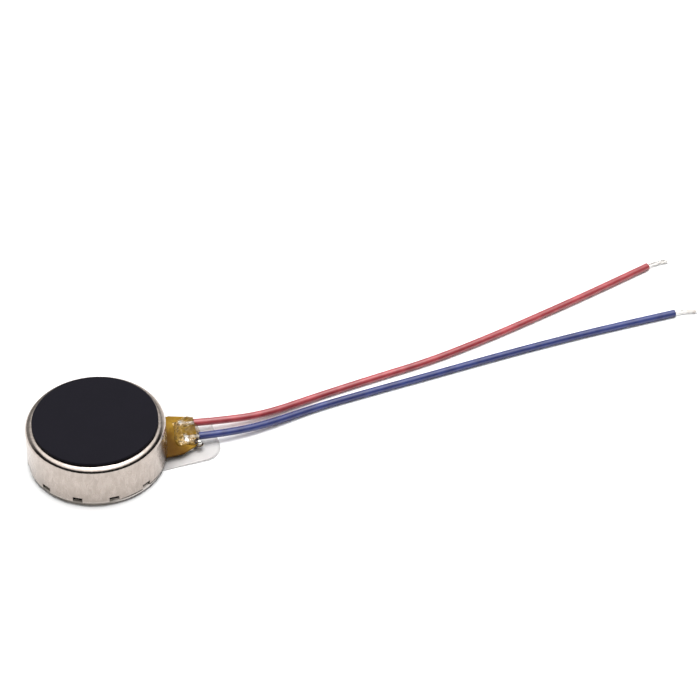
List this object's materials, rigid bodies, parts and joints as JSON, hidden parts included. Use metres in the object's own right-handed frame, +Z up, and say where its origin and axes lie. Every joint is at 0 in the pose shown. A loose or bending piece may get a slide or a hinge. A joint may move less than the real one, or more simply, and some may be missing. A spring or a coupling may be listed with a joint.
{
  "type": "vibration coin motor",
  "caption": "Round flat eccentric-rotor vibration motor with a foam pad on top, an adhesive base with liner, a flex tail and two stripped wire leads.",
  "frame": {"origin": "on the motor's axis, on the underside of the release liner that it rests on", "axes": "+Z up the motor's axis towards the foam pad, +X out along the flex tail and the leads, +Y to the red lead's side"},
  "size_m": [0.0519, 0.0131, 0.0038],
  "materials": {
    "case_steel": "satin",
    "plate_steel": "satin",
    "shaft_steel": "polished",
    "polyimide": "gloss",
    "copper": "satin",
    "gilt_copper": "polished",
    "adhesive": "matte",
    "magnet": "satin",
    "brush_alloy": "polished",
    "solder": "polished",
    "washer_film": "satin",
    "foam": "matte",
    "liner_film": "satin",
    "red_insulation": "satin",
    "blue_insulation": "satin",
    "tinned_copper": "satin",
    "sealant": "gloss",
    "sintered_bronze": "satin",
    "board": "satin",
    "enamelled_wire": "gloss",
    "tungsten": "satin",
    "rotor_resin": "satin"
  },
  "bodies": {
    "housing": {"case_cover": "case_steel", "bottom_plate": "plate_steel", "shaft": "shaft_steel", "flex_film": "polyimide", "positive_track": "copper", "negative_track": "copper", "flex_coverlay": "polyimide", "magnet_adhesive": "adhesive", "ring_magnet": "magnet", "left_brush": "brush_alloy", "right_brush": "brush_alloy", "brush_solder_joints": "solder", "lower_washer": "washer_film", "upper_washer": "washer_film", "foam_pad": "foam", "adhesive_disc": "adhesive", "release_liner": "liner_film", "red_lead": "red_insulation", "red_pad_strands": "tinned_copper", "red_tinned_end": "tinned_copper", "red_solder_joint": "solder", "blue_lead": "blue_insulation", "blue_pad_strands": "tinned_copper", "blue_tinned_end": "tinned_copper", "blue_solder_joint": "solder", "joint_sealant": "sealant"},
    "rotor": {"rotor_bush": "sintered_bronze", "rotor_board": "board", "commutator_segments": "gilt_copper", "left_coil": "enamelled_wire", "right_coil": "enamelled_wire", "counterweight": "tungsten", "rotor_moulding": "rotor_resin", "coil_solder_joints": "solder"}
  },
  "joints": [
    {"name": "rotor_spin", "type": "hinge", "parent": "housing", "child": "rotor", "pos_m": [0, 0, 0.002], "axis": [0, 0, 1], "continuous": true}
  ]
}
